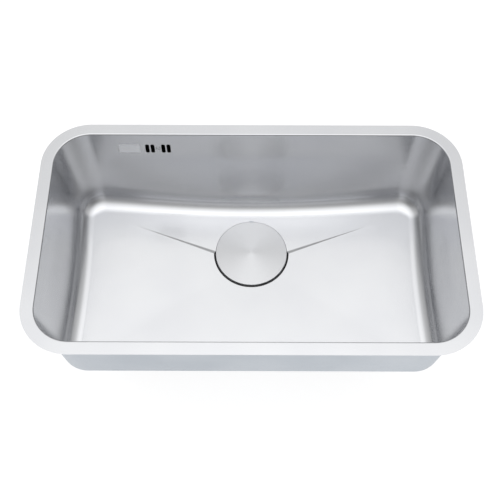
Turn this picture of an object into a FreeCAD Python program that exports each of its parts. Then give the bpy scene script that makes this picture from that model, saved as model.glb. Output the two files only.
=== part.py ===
"""Undermount kitchen sink: one deep drawn bowl with its strainer, waste and overflow.

Millimetres. X runs along the sink, +Y points to its back and +Z up.
The origin is the centre of the rim's flat top, which is glued up under the worktop.
"""
import FreeCAD, Part
import math
import os

V = FreeCAD.Vector
UP = V(0, 0, 1)

# ---- Rim and bowl ----
RIM_LENGTH = 760.0        # outer size of the flat rim, along the sink
RIM_WIDTH = 450.0         # outer size of the flat rim, front to back
FLANGE_WIDTH = 22.5       # from the rim's outer edge to the line of the wall
SHEET = 1.2               # the pressed sheet, everywhere
BEND_INNER_R = 1.3        # hollow side of the bend where the rim turns down
BOWL_DEPTH = 200.0        # rim to floor
WALL_LEAN = 14.8          # how far a wall leans in over the bowl's depth
FLOOR_FILLET_R = 31.0     # between wall and floor, inside
FLOOR_CORNER_R = 19.4     # corner of the flat floor, within its fillet
BEND_R = BEND_INNER_R + SHEET
WALL_ANGLE = math.atan2(WALL_LEAN, BOWL_DEPTH)
FLOOR_Z = -BOWL_DEPTH
FILLET_TOP_LEAN = WALL_LEAN * (BOWL_DEPTH - FLOOR_FILLET_R) / BOWL_DEPTH
FLOOR_INSET = FLANGE_WIDTH + FILLET_TOP_LEAN + FLOOR_FILLET_R / math.cos(WALL_ANGLE)
RIM_CORNER_R = FLOOR_INSET + FLOOR_CORNER_R
CORNER_X = RIM_LENGTH / 2 - RIM_CORNER_R  # axis of the rounded corners
CORNER_Y = RIM_WIDTH / 2 - RIM_CORNER_R

# ---- Floor: flat behind two creases, and falling to the drain before them ----
FALL = 3.0                # how much lower the front of the floor is at the drain
FALL_MARGIN = 1.5         # the fall starts this far in from the floor's fillet
CREASE_CORNER_DEG = 45.0  # where on the back corner a crease starts, from the side

# ---- Drain well: the round step in the floor that the cover closes ----
DRAIN_Y = 63.0            # centre of the drain, behind the middle of the rim
COVER_R = 70.0
COVER_GAP_BACK = 0.7      # between the cover and the well's back half
COVER_GAP_FRONT = 3.5     # between the cover and the well's front half, for the water
WELL_STEP_Y = 3.0         # the two halves meet this far behind the drain's centre
WELL_DEPTH = 10.0         # floor to the well's seat
DRAIN_HOLE_R = 57.5
WELL_R = COVER_R + COVER_GAP_BACK
SEAT_Z = FLOOR_Z - WELL_DEPTH

# ---- Strainer body, clamped through the drain hole ----
GASKET_T = 1.5            # under the strainer's flange
GASKET_EDGE = 1.0         # how far the gasket stops short of the flange's edge
BODY_FLANGE_T = 1.5
BODY_FLANGE_GAP = 0.6     # flange edge to the well's wall
BODY_CLEARANCE = 1.2      # body to the drain hole
BODY_WALL = 1.6
BODY_LEDGE_DEPTH = 7.0    # flange top to the ledge that carries the basket
BODY_LEDGE_W = 3.0
BODY_DEPTH = 48.0         # flange top to where the funnel starts
FUNNEL_DEPTH = 13.0
FUNNEL_WALL = 2.4
SPIGOT_WALL = 3.9
SPIGOT_LENGTH = 20.0
BODY_R = DRAIN_HOLE_R - BODY_CLEARANCE
BODY_TOP_Z = SEAT_Z + GASKET_T + BODY_FLANGE_T
LEDGE_Z = BODY_TOP_Z - BODY_LEDGE_DEPTH
FUNNEL_TOP_Z = BODY_TOP_Z - BODY_DEPTH
FUNNEL_END_Z = FUNNEL_TOP_Z - FUNNEL_DEPTH
SPIGOT_END_Z = FUNNEL_END_Z - SPIGOT_LENGTH
BODY_BORE_R = BODY_R - BODY_WALL
SHAFT_BORE_R = BODY_BORE_R - BODY_LEDGE_W

# ---- Rings that clamp the body from below ----
UNDER_GASKET_T = 3.0
UNDER_GASKET_W = 9.0
FRICTION_T = 1.0
NUT_T = 12.0
NUT_W = 7.0
NUT_LUGS = 6
NUT_LUG_SIZE = 5.0
THREAD_GAP = 0.1          # radial gap in every screwed joint, drawn without its thread

# ---- Removable basket and its plug ----
BASKET_GAP = 0.8          # basket rim to the body's bore
BASKET_SEAT_GAP = 0.2
BASKET_SHEET = 1.0
BASKET_TAPER = 4.0        # how far the basket narrows to its floor
BASKET_DEPTH = 34.0
BASKET_SLOTS = 20
BASKET_SLOT_W = 3.0
BASKET_SLOT_H = 18.0
BASKET_HOLE_R = 2.2
BASKET_HOLE_RINGS = ((14.0, 8), (24.0, 14), (34.0, 20))  # circle radius, number of holes
POST_R = 4.0
POST_CLEARANCE = 0.1      # post in the bush of the basket
BUSH_R = 7.0
BUSH_H = 6.0
BUSH_NECK_R = 5.5         # the part of the bush that goes through the basket's floor
BUSH_FOOT_T = 0.8         # riveted over below the floor
KNOB_R = 11.0
KNOB_H = 9.0
KNOB_EDGE_R = 2.2
KNOB_GAP = 0.25           # knob to the bush that it rests on
PLUG_T = 6.0
PLUG_GAP = 0.25           # plug to funnel, square to its slope
PLUG_ABOVE_THROAT = 1.0   # foot of the plug above the end of the funnel
BASKET_RIM_R = BODY_BORE_R - BASKET_GAP
BASKET_R = BODY_BORE_R - BODY_LEDGE_W - BASKET_GAP
BASKET_TOP_Z = LEDGE_Z + BASKET_SEAT_GAP + BASKET_SHEET
BASKET_FLOOR_Z = BASKET_TOP_Z - BASKET_DEPTH

# ---- Cover over the drain ----
COVER_T = 1.2
COVER_RISE = 0.3          # top of the cover above the floor behind it
COVER_SEAT_GAP = 0.2
COVER_EDGE_R = 0.8
COVER_NOTCHES = 8         # ways for the water through the skirt
COVER_NOTCH_W = 22.0
COVER_NOTCH_H = 3.5
COVER_TOP_Z = FLOOR_Z + COVER_RISE

# ---- Waste tee under the strainer ----
TEE_SEAL_T = 2.0
TEE_FLANGE_T = 3.0
TEE_R = 20.0              # outlet for a 40 mm waste pipe
TEE_OUTLET_LENGTH = 25.0
TEE_BODY_R = 21.5         # the thicker body above the outlet
TEE_WALL = 2.2            # of the outlet
TEE_FLANGE_W = 3.0
TEE_FLANGE_GAP = 0.5      # flange edge to the line of the spigot's thread
TEE_LENGTH = 68.0         # seal to the outlet's end
TEE_BRANCH_DROP = 26.0    # seal to the branch's axis
TEE_BRANCH_REACH = 42.0   # outlet axis to the branch's end
COUPLING_WALL = 6.0
COUPLING_LIP_T = 3.0
COUPLING_GRIP = 13.0      # how much of the spigot the coupling nut covers
COUPLING_RIBS = 12
COUPLING_RIB_R = 2.0
TEE_TOP_Z = SPIGOT_END_Z - TEE_SEAL_T
TEE_BRANCH_Z = TEE_TOP_Z - TEE_BRANCH_DROP
TEE_FLANGE_R = TEE_BODY_R + TEE_FLANGE_W
SPIGOT_R = TEE_FLANGE_R + TEE_FLANGE_GAP
SPIGOT_BORE_R = SPIGOT_R - SPIGOT_WALL

# ---- Overflow slots and the housing behind them ----
OVERFLOW_X = -176.0       # the screw between the two pairs of slots
OVERFLOW_DROP = 40.0      # below the rim
SLOT_W = 6.0
SLOT_H = 24.0
SLOT_OFFSETS = (-20.0, -10.0, 10.0, 20.0)
WEB_W = 11.0              # the web between the two pairs, which the screw goes through
FACE_MARGIN = 4.0         # the sealing face reaches this far past the slots
FACE_W = 5.0              # width of the sealing face
FACE_GASKET_T = 2.0
HOUSING_DEPTH = 28.0
HOUSING_WALL = 2.2
HOUSING_FACE_T = 3.0
SPOUT_BACK = 17.0         # the spout's axis behind the housing's front
SPOUT_DROP = 26.0         # the spout ends this far below the housing's chamber
SCREW_R = 2.5
SCREW_HEAD_R = 4.2
SCREW_HEAD_H = 1.8
SCREW_HEAD_EDGE_R = 1.1
SCREW_SLOT_W = 1.2
SCREW_SLOT_DEPTH = 0.9
SCREW_CLEARANCE = 0.3
INSERT_WALL = 1.4
INSERT_LENGTH = 9.0
CHAMBER_W = 2 * (max(SLOT_OFFSETS) + SLOT_W / 2 + FACE_MARGIN)
CHAMBER_H = SLOT_H + 2 * FACE_MARGIN

# ---- Overflow pipe with its two slip joints ----
PIPE_R = 12.5
PIPE_WALL = 2.0
PIPE_BEND_R = 34.0
PIPE_COLLAR_T = 2.0
PIPE_COLLAR_W = 2.5
PIPE_SEAL_T = 2.0
SLIP_NUT_WALL = 3.0
SLIP_NUT_GRIP = 10.0
SLIP_NUT_LIP_T = 2.5
SLIP_NUT_RIBS = 10
SLIP_NUT_RIB_R = 1.4
SPOUT_R = PIPE_R + PIPE_COLLAR_W  # threaded ends of the spout and the tee's branch
PIPE_BORE_R = PIPE_R - PIPE_WALL

# ---- Sound pads under the floor, and the blank sticker ----
PAD_T = 2.5
PAD_LENGTH = 170.0
PAD_WIDTH = 180.0
PAD_CORNER_R = 20.0
PAD_AHEAD = 5.0           # back edge of the pads, before the drain's centre
STICKER_BESIDE = 53.5     # centre of the sticker, left of the overflow's screw
STICKER_LENGTH = 39.0
STICKER_HEIGHT = 22.0
STICKER_T = 0.15
STICKER_CORNER_R = 1.0


# ---- Helpers ----
PAST = 1.0                # how far a cutting solid runs past the face that it cuts


def cylinder(radius, low, high, x=0.0, y=0.0):
    return Part.makeCylinder(radius, high - low, V(x, y, low))


def ring(outer, inner, low, high, x=0.0, y=0.0):
    bore = cylinder(inner, low - PAST, high + PAST, x, y)
    return cylinder(outer, low, high, x, y).cut(bore)


def block(x0, x1, y0, y1, z0, z1):
    return Part.makeBox(x1 - x0, y1 - y0, z1 - z0, V(x0, y0, z0))


def turned(points, y=0.0):
    """A solid turned about the vertical through (0, y), from (radius, height) points."""
    corners = [V(r, 0, z) for r, z in points]
    face = Part.Face(Part.makePolygon(corners + corners[:1]))
    solid = face.revolve(V(0, 0, 0), UP, 360)
    solid.translate(V(0, y, 0))
    return solid


def joined(solids):
    return solids[0].multiFuse(solids[1:]).removeSplitter()


def one_solid(shape):
    """The single solid inside a result, so that a node is never left as a compound."""
    solids = shape.Solids
    assert len(solids) == 1, f"{len(solids)} solids where one was meant"
    return solids[0]


def around(solid, count, x=0.0, y=0.0, start=0.0):
    """Copies of a solid, evenly spaced about a vertical axis."""
    copies = []
    for i in range(count):
        copy = solid.copy()
        copy.rotate(V(x, y, 0), UP, start + 360.0 * i / count)
        copies.append(copy)
    return Part.makeCompound(copies)


def rounded_plate(length, height, thickness, radius):
    """A plate on the local XZ plane, centred, reaching from y = 0 to y = thickness."""
    plate = block(-length / 2, length / 2, 0, thickness, -height / 2, height / 2)
    across = [e for e in plate.Edges if abs(e.tangentAt(e.FirstParameter).y) > 0.9]
    return plate.makeFillet(radius, across)


def wall_y(z):
    """Y of the back wall's inner surface at height z."""
    return RIM_WIDTH / 2 - FLANGE_WIDTH + WALL_LEAN * z / BOWL_DEPTH


def on_back_wall(shape, x):
    """Set a shape on the back wall, level with the overflow: its local y = 0 is the inner face."""
    placed = shape.copy()
    placed.rotate(V(0, 0, 0), V(1, 0, 0), -math.degrees(WALL_ANGLE))
    placed.translate(V(x, wall_y(-OVERFLOW_DROP), -OVERFLOW_DROP))
    return placed


# ---- The bowl ----
def sheet_profile():
    """The bent strip of sheet from the rim's edge to the middle of a corner.

    It stands in the XZ plane with the corner's axis at x = 0 and the rim's edge at
    x = RIM_CORNER_R, so it can be turned into a corner or drawn out into a side.
    """
    into_bowl = V(-math.cos(WALL_ANGLE), 0, math.sin(WALL_ANGLE))  # square to the wall
    over_bend = (into_bowl + UP).normalize()
    under_fillet = over_bend.negative()

    def wall_x(z):
        return RIM_CORNER_R - FLANGE_WIDTH + WALL_LEAN * z / BOWL_DEPTH

    bend = V(wall_x(-BEND_R) + BEND_R / math.cos(WALL_ANGLE), 0, -BEND_R)
    fillet = V(FLOOR_CORNER_R, 0, FLOOR_Z + FLOOR_FILLET_R)

    def face_edges(depth):
        """The strip's surface `depth` below its inner face, and its two end points."""
        bend_r = BEND_R - depth
        fillet_r = FLOOR_FILLET_R + depth
        rim = V(RIM_CORNER_R, 0, -depth)
        bend_start = V(bend.x, 0, -depth)
        bend_end = bend + into_bowl * bend_r
        fillet_start = fillet - into_bowl * fillet_r
        fillet_end = V(fillet.x, 0, FLOOR_Z - depth)
        middle = V(0, 0, FLOOR_Z - depth)
        edges = [
            Part.makeLine(rim, bend_start),
            Part.Arc(bend_start, bend + over_bend * bend_r, bend_end).toShape(),
            Part.makeLine(bend_end, fillet_start),
            Part.Arc(fillet_start, fillet + under_fillet * fillet_r, fillet_end).toShape(),
            Part.makeLine(fillet_end, middle),
        ]
        return edges, rim, middle

    inner, inner_rim, inner_middle = face_edges(0.0)
    outer, outer_rim, outer_middle = face_edges(SHEET)
    ends = [
        Part.makeLine(inner_rim, outer_rim),
        Part.makeLine(inner_middle, outer_middle),
    ]
    return Part.Face(Part.Wire(Part.__sortEdges__(inner + outer + ends)))


def pressed_shell():
    """Rim, walls, fillets and a flat floor, all of one sheet thickness."""
    profile = sheet_profile()
    corner = profile.revolve(V(0, 0, 0), UP, 90)
    pieces = [block(-CORNER_X, CORNER_X, -CORNER_Y, CORNER_Y, FLOOR_Z - SHEET, FLOOR_Z)]
    for quarter in range(4):
        x_side = 1 if quarter in (0, 3) else -1
        y_side = 1 if quarter in (0, 1) else -1
        turned_corner = corner.copy()
        turned_corner.rotate(V(0, 0, 0), UP, 90 * quarter)
        turned_corner.translate(V(x_side * CORNER_X, y_side * CORNER_Y, 0))
        pieces.append(turned_corner)
        offset, half_run = (CORNER_X, CORNER_Y) if quarter % 2 == 0 else (CORNER_Y, CORNER_X)
        side = profile.extrude(V(0, 2 * half_run, 0))
        side.translate(V(offset, -half_run, 0))
        side.rotate(V(0, 0, 0), UP, 90 * quarter)
        pieces.append(side)
    return joined(pieces)


def fall_outline(z):
    """Edges of the falling floor's outer border at height z, from left crease to right crease.

    Each comes with the direction, in degrees, of its start and end from the drain.
    """
    radius = FLOOR_CORNER_R - FALL_MARGIN

    def at(corner_x, corner_y, degrees):
        a = math.radians(degrees)
        return V(corner_x + radius * math.cos(a), corner_y + radius * math.sin(a), z)

    def arc(corner_x, corner_y, start, end):
        middle = (start + end) / 2
        points = [at(corner_x, corner_y, d) for d in (start, middle, end)]
        return Part.Arc(*points).toShape(), points[0], points[2]

    def line(start, end):
        return Part.makeLine(start, end), start, end

    back_left = arc(-CORNER_X, CORNER_Y, 180 - CREASE_CORNER_DEG, 180)
    front_left = arc(-CORNER_X, -CORNER_Y, 180, 270)
    front_right = arc(CORNER_X, -CORNER_Y, 270, 360)
    back_right = arc(CORNER_X, CORNER_Y, 360, 360 + CREASE_CORNER_DEG)
    left = line(back_left[2], front_left[1])
    front = line(front_left[2], front_right[1])
    right = line(front_right[2], back_right[1])
    border = [back_left, left, front_left, front, front_right, right, back_right]

    centre = V(0, DRAIN_Y + WELL_STEP_Y, z)

    def direction(point):
        degrees = math.degrees(math.atan2(point.y - centre.y, point.x - centre.x))
        return degrees % 360 if point.x < 0 or degrees < 0 else degrees + 360

    return [(edge, direction(start), direction(end)) for edge, start, end in border]


def falling_floor(below, top_z):
    """A solid from top_z down to the falling floor, or to a surface `below` under it.

    The floor is a ruled surface between its outer border and a half circle under the cover.
    """
    border = fall_outline(FLOOR_Z - below)
    first = border[0][1]
    last = border[-1][2]
    low_z = FLOOR_Z - FALL - below

    def on_well(degrees, z):
        a = math.radians(180 + (degrees - first) * 180 / (last - first))
        return V(COVER_R * math.cos(a), DRAIN_Y + WELL_STEP_Y + COVER_R * math.sin(a), z)

    faces = []
    low_edges = []
    for edge, start, end in border:
        points = [on_well(d, low_z) for d in (start, (start + end) / 2, end)]
        inner = Part.Arc(*points).toShape()
        faces.append(Part.makeRuledSurface(edge, inner))
        low_edges += [edge, inner]
    for outer_point, inner_point in (
        (border[0][0].Vertexes[0].Point, on_well(first, low_z)),
        (border[-1][0].Vertexes[-1].Point, on_well(last, low_z)),
    ):
        low_edges.append(Part.makeLine(outer_point, inner_point))
    top_edges = []
    for edge in low_edges:
        top = flattened(edge, top_z)
        top_edges.append(top)
        faces.append(Part.makeRuledSurface(edge, top))
    faces.append(Part.Face(Part.Wire(Part.__sortEdges__(top_edges))))
    shell = Part.makeShell(faces)
    shell.sewShape()
    solid = Part.makeSolid(Part.makeShell(shell.Faces))
    if solid.Volume < 0:
        solid.reverse()
    return solid


def flattened(edge, z):
    """The edge's shape seen from above, drawn at height z."""
    first, last = edge.FirstParameter, edge.LastParameter
    points = [edge.valueAt(p) for p in (first, (first + last) / 2, last)]
    level = [V(p.x, p.y, z) for p in points]
    if edge.Curve.TypeId == "Part::GeomCircle":
        return Part.Arc(*level).toShape()
    return Part.makeLine(level[0], level[2])


def well(extra, low, high):
    """The drain well as a solid: wider in front of its step than behind it."""
    front_r = COVER_R + COVER_GAP_FRONT + extra
    whole = cylinder(WELL_R + extra, low, high, y=DRAIN_Y)
    step_y = DRAIN_Y + WELL_STEP_Y + extra
    front = cylinder(front_r, low, high, y=DRAIN_Y)
    front = front.common(block(-front_r, front_r, DRAIN_Y - front_r, step_y, low, high))
    return whole.fuse(front).removeSplitter()


def overflow_slot(x):
    half_run = (SLOT_H - SLOT_W) / 2
    low = -PAST
    high = SHEET + PAST
    slot = block(x - SLOT_W / 2, x + SLOT_W / 2, low, high, -half_run, half_run)
    ends = []
    for end in (-half_run, half_run):
        hole = screw_shank(SLOT_W / 2, low, high)
        hole.translate(V(x, 0, end))
        ends.append(hole)
    return on_back_wall(joined([slot] + ends), OVERFLOW_X)


def bowl():
    middle_of_floor = FLOOR_Z - SHEET / 2
    outside = joined([
        pressed_shell(),
        falling_floor(SHEET, middle_of_floor),
        well(SHEET, SEAT_Z - SHEET, middle_of_floor),
    ])
    cuts = [
        falling_floor(0.0, FLOOR_Z + PAST),
        well(0.0, SEAT_Z, FLOOR_Z + PAST),
        cylinder(DRAIN_HOLE_R, SEAT_Z - SHEET - PAST, SEAT_Z + PAST, y=DRAIN_Y),
        on_back_wall(screw_shank(SCREW_R + SCREW_CLEARANCE, -PAST, SHEET + PAST), OVERFLOW_X),
    ]
    cuts += [overflow_slot(x) for x in SLOT_OFFSETS]
    shape = outside
    for tool in cuts:
        shape = shape.cut(tool)
    return one_solid(shape)


# ---- Strainer ----
def strainer_body():
    flange_r = WELL_R - BODY_FLANGE_GAP
    flange_low = BODY_TOP_Z - BODY_FLANGE_T
    throat_r = SPIGOT_BORE_R
    return one_solid(turned([
        (flange_r, BODY_TOP_Z),
        (BODY_BORE_R, BODY_TOP_Z),
        (BODY_BORE_R, LEDGE_Z),
        (SHAFT_BORE_R, LEDGE_Z),
        (SHAFT_BORE_R, FUNNEL_TOP_Z),
        (throat_r, FUNNEL_END_Z),
        (throat_r, SPIGOT_END_Z),
        (SPIGOT_R, SPIGOT_END_Z),
        (SPIGOT_R, FUNNEL_END_Z - FUNNEL_WALL),
        (BODY_R, FUNNEL_TOP_Z - FUNNEL_WALL),
        (BODY_R, flange_low),
        (flange_r, flange_low),
    ], DRAIN_Y))


def flange_gasket():
    outer = WELL_R - BODY_FLANGE_GAP - GASKET_EDGE
    return ring(outer, DRAIN_HOLE_R, SEAT_Z, SEAT_Z + GASKET_T, y=DRAIN_Y)


def clamp_rings():
    """Under gasket, friction washer and lock nut, stacked under the drain well."""
    inner = BODY_R + THREAD_GAP
    outer = inner + UNDER_GASKET_W
    top = SEAT_Z - SHEET
    gasket = ring(outer, inner, top - UNDER_GASKET_T, top, y=DRAIN_Y)
    top -= UNDER_GASKET_T
    washer = ring(outer, inner, top - FRICTION_T, top, y=DRAIN_Y)
    top -= FRICTION_T
    nut_outer = inner + NUT_W
    nut = ring(nut_outer, inner, top - NUT_T, top, y=DRAIN_Y)
    lug = block(
        nut_outer - PAST, nut_outer + NUT_LUG_SIZE,
        DRAIN_Y - NUT_LUG_SIZE / 2, DRAIN_Y + NUT_LUG_SIZE / 2,
        top - NUT_T, top,
    )
    nut = nut.fuse(around(lug, NUT_LUGS, y=DRAIN_Y)).removeSplitter()
    return {"under_gasket": gasket, "friction_washer": washer, "lock_nut": one_solid(nut)}


def basket():
    """Pressed cup with a rim, slots round its wall and holes in its floor."""
    top = BASKET_TOP_Z
    floor = BASKET_FLOOR_Z
    low_r = BASKET_R - BASKET_TAPER
    bush_hole_r = BUSH_NECK_R + THREAD_GAP
    cup = turned([
        (BASKET_RIM_R, top),
        (BASKET_R - BASKET_SHEET, top),
        (low_r - BASKET_SHEET, floor + BASKET_SHEET),
        (bush_hole_r, floor + BASKET_SHEET),
        (bush_hole_r, floor),
        (low_r, floor),
        (BASKET_R, top - BASKET_SHEET),
        (BASKET_RIM_R, top - BASKET_SHEET),
    ], DRAIN_Y)
    middle = floor + BASKET_DEPTH / 2
    slot = block(
        low_r - BASKET_SHEET - PAST, BASKET_R + PAST,
        DRAIN_Y - BASKET_SLOT_W / 2, DRAIN_Y + BASKET_SLOT_W / 2,
        middle - BASKET_SLOT_H / 2, middle + BASKET_SLOT_H / 2,
    )
    cup = cup.cut(around(slot, BASKET_SLOTS, y=DRAIN_Y))
    for circle_r, count in BASKET_HOLE_RINGS:
        hole = cylinder(
            BASKET_HOLE_R, floor - PAST, floor + BASKET_SHEET + PAST, circle_r, DRAIN_Y
        )
        cup = cup.cut(around(hole, count, y=DRAIN_Y))
    return one_solid(cup)


def basket_bush():
    """The bush that guides the plug's post, riveted through the basket's floor."""
    floor = BASKET_FLOOR_Z
    bore = POST_R + POST_CLEARANCE
    return one_solid(turned([
        (bore, floor + BUSH_H),
        (BUSH_R, floor + BUSH_H),
        (BUSH_R, floor + BASKET_SHEET),
        (BUSH_NECK_R, floor + BASKET_SHEET),
        (BUSH_NECK_R, floor),
        (BUSH_R, floor),
        (BUSH_R, floor - BUSH_FOOT_T),
        (bore, floor - BUSH_FOOT_T),
    ], DRAIN_Y))


def plug_parts():
    """The plug's seal, the post that carries it and the knob on top of the post."""
    low_z = FUNNEL_END_Z + PLUG_ABOVE_THROAT
    top_z = low_z + PLUG_T
    slope = (SHAFT_BORE_R - SPIGOT_BORE_R) / FUNNEL_DEPTH
    gap = PLUG_GAP * math.hypot(1, slope)

    def funnel_r(z):
        return SPIGOT_BORE_R + (z - FUNNEL_END_Z) * slope - gap

    knob_low = BASKET_FLOOR_Z + BUSH_H + KNOB_GAP
    seal = turned([
        (POST_R, top_z),
        (funnel_r(top_z), top_z),
        (funnel_r(low_z), low_z),
        (POST_R, low_z),
    ], DRAIN_Y)
    post = cylinder(POST_R, low_z, knob_low, y=DRAIN_Y)
    knob = cylinder(KNOB_R, knob_low, knob_low + KNOB_H, y=DRAIN_Y)
    upper = [e for e in knob.Edges if abs(e.BoundBox.ZMin - knob_low - KNOB_H) < 1e-6]
    knob = knob.makeFillet(KNOB_EDGE_R, upper)
    return {"plug_seal": seal, "plug_post": post, "plug_knob": one_solid(knob)}


def cover():
    """A round disc with a turned-down skirt, notched for the water."""
    low = BODY_TOP_Z + COVER_SEAT_GAP
    cap = cylinder(COVER_R, low, COVER_TOP_Z, y=DRAIN_Y)
    top_edge = [e for e in cap.Edges if abs(e.BoundBox.ZMin - COVER_TOP_Z) < 1e-6]
    cap = cap.makeFillet(COVER_EDGE_R, top_edge)
    cap = cap.cut(cylinder(COVER_R - COVER_T, low - PAST, COVER_TOP_Z - COVER_T, y=DRAIN_Y))
    notch = block(
        COVER_R - COVER_NOTCH_W / 2, COVER_R + PAST,
        DRAIN_Y - COVER_NOTCH_W / 2, DRAIN_Y + COVER_NOTCH_W / 2,
        low - PAST, low + COVER_NOTCH_H,
    )
    half_step = 180.0 / COVER_NOTCHES
    return one_solid(cap.cut(around(notch, COVER_NOTCHES, y=DRAIN_Y, start=half_step)))


# ---- Waste ----
def pipe_directions():
    """Where the upright pipe stands, and the level direction from the tee to it."""
    upright = V(OVERFLOW_X, spout_y(), 0)
    level = (upright - V(0, DRAIN_Y, 0)).normalize()
    return upright, level


def spout_y():
    return wall_y(-OVERFLOW_DROP) + SHEET + FACE_GASKET_T + SPOUT_BACK


def level_cylinder(radius, start, end):
    """A cylinder along the tee's branch, from `start` to `end` off the outlet's axis."""
    _, level = pipe_directions()
    base = V(0, DRAIN_Y, TEE_BRANCH_Z) + level * start
    return Part.makeCylinder(radius, end - start, base, level)


def waste_tee():
    bottom = TEE_TOP_Z - TEE_LENGTH
    outside = joined([
        cylinder(TEE_R, bottom, TEE_TOP_Z, y=DRAIN_Y),
        cylinder(TEE_BODY_R, bottom + TEE_OUTLET_LENGTH, TEE_TOP_Z, y=DRAIN_Y),
        cylinder(TEE_FLANGE_R, TEE_TOP_Z - TEE_FLANGE_T, TEE_TOP_Z, y=DRAIN_Y),
        level_cylinder(SPOUT_R, 0, TEE_BRANCH_REACH),
    ])
    bore = cylinder(TEE_R - TEE_WALL, bottom - PAST, TEE_TOP_Z + PAST, y=DRAIN_Y)
    branch = level_cylinder(PIPE_BORE_R, 0, TEE_BRANCH_REACH + PAST)
    return one_solid(outside.cut(bore).cut(branch))


def tee_seal():
    top = SPIGOT_END_Z
    return ring(TEE_FLANGE_R, SPIGOT_BORE_R, top - TEE_SEAL_T, top, y=DRAIN_Y)


def ribbed_nut(bore, lip_bore, wall, grip, lip_t, ribs, rib_r):
    """A union nut along +Z: its lip ends at z = 0 and its thread runs up to z = grip."""
    outer = bore + wall
    rib = cylinder(rib_r, -lip_t, grip, outer)
    nut = cylinder(outer, -lip_t, grip).fuse(around(rib, ribs)).removeSplitter()
    nut = nut.cut(cylinder(bore, 0, grip + PAST))
    return one_solid(nut.cut(cylinder(lip_bore, -lip_t - PAST, PAST)))


def coupling_nut():
    nut = ribbed_nut(
        SPIGOT_R + THREAD_GAP, TEE_BODY_R + THREAD_GAP, COUPLING_WALL,
        COUPLING_GRIP + TEE_SEAL_T + TEE_FLANGE_T, COUPLING_LIP_T,
        COUPLING_RIBS, COUPLING_RIB_R,
    )
    nut.translate(V(0, DRAIN_Y, TEE_TOP_Z - TEE_FLANGE_T))
    return nut


# ---- Overflow ----
def screw_shank(radius, start, end):
    return Part.makeCylinder(radius, end - start, V(0, start, 0), V(0, 1, 0))


def chamber_block(half_width, front, back):
    """A block as high as the housing's chamber, centred behind the overflow."""
    return block(-half_width, half_width, front, back, -CHAMBER_H / 2, CHAMBER_H / 2)


def sealing_face(thickness):
    width = CHAMBER_W + 2 * FACE_W
    height = CHAMBER_H + 2 * FACE_W
    return rounded_plate(width, height, thickness, FACE_W)


def overflow_gasket():
    frame = sealing_face(FACE_GASKET_T)
    frame = frame.cut(chamber_block(CHAMBER_W / 2, -PAST, FACE_GASKET_T + PAST))
    web = chamber_block(WEB_W / 2, 0, FACE_GASKET_T)
    web = web.cut(screw_shank(SCREW_R + SCREW_CLEARANCE, -PAST, FACE_GASKET_T + PAST))
    plate = frame.fuse(web).removeSplitter()
    plate.translate(V(0, SHEET, 0))
    return one_solid(on_back_wall(plate, OVERFLOW_X))


def overflow_housing():
    """A box behind the slots with a sealing face, a web for the screw and a spout."""
    face = sealing_face(HOUSING_FACE_T)
    half_w = CHAMBER_W / 2 + HOUSING_WALL
    half_h = CHAMBER_H / 2 + HOUSING_WALL
    box = block(-half_w, half_w, 0, HOUSING_DEPTH, -half_h, half_h)
    chamber = chamber_block(CHAMBER_W / 2, -PAST, HOUSING_DEPTH - HOUSING_WALL)
    web = chamber_block(WEB_W / 2, 0, INSERT_LENGTH + HOUSING_WALL)
    front = SHEET + FACE_GASKET_T

    def placed(shape):
        moved = shape.copy()
        moved.translate(V(0, front, 0))
        return on_back_wall(moved, OVERFLOW_X)

    y = spout_y()
    end = spout_end_z()
    spout = cylinder(SPOUT_R, end, end + SPOUT_DROP, OVERFLOW_X, y)
    bore = cylinder(PIPE_BORE_R, end - PAST, -OVERFLOW_DROP, OVERFLOW_X, y)
    shape = joined([placed(face), placed(box), spout])
    shape = shape.cut(placed(chamber)).cut(bore)
    shape = shape.fuse(placed(web)).removeSplitter()
    pocket = screw_shank(SCREW_R + INSERT_WALL, -PAST, INSERT_LENGTH)
    return one_solid(shape.cut(placed(pocket)))


def overflow_insert():
    tube = screw_shank(SCREW_R + INSERT_WALL, 0, INSERT_LENGTH)
    tube = tube.cut(screw_shank(SCREW_R + THREAD_GAP, -PAST, INSERT_LENGTH + PAST))
    tube.translate(V(0, SHEET + FACE_GASKET_T, 0))
    return one_solid(on_back_wall(tube, OVERFLOW_X))


def overflow_screw():
    head = screw_shank(SCREW_HEAD_R, -SCREW_HEAD_H, 0)
    rim = [e for e in head.Edges if abs(e.BoundBox.YMax + SCREW_HEAD_H) < 1e-6]
    head = head.makeFillet(SCREW_HEAD_EDGE_R, rim)
    shape = head.fuse(screw_shank(SCREW_R, 0, SHEET + FACE_GASKET_T + INSERT_LENGTH))
    slot = block(
        -SCREW_HEAD_R, SCREW_HEAD_R,
        -SCREW_HEAD_H, SCREW_SLOT_DEPTH - SCREW_HEAD_H,
        -SCREW_SLOT_W / 2, SCREW_SLOT_W / 2,
    )
    return one_solid(on_back_wall(shape.cut(slot), OVERFLOW_X))


def spout_end_z():
    return -OVERFLOW_DROP - CHAMBER_H / 2 - SPOUT_DROP


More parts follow.
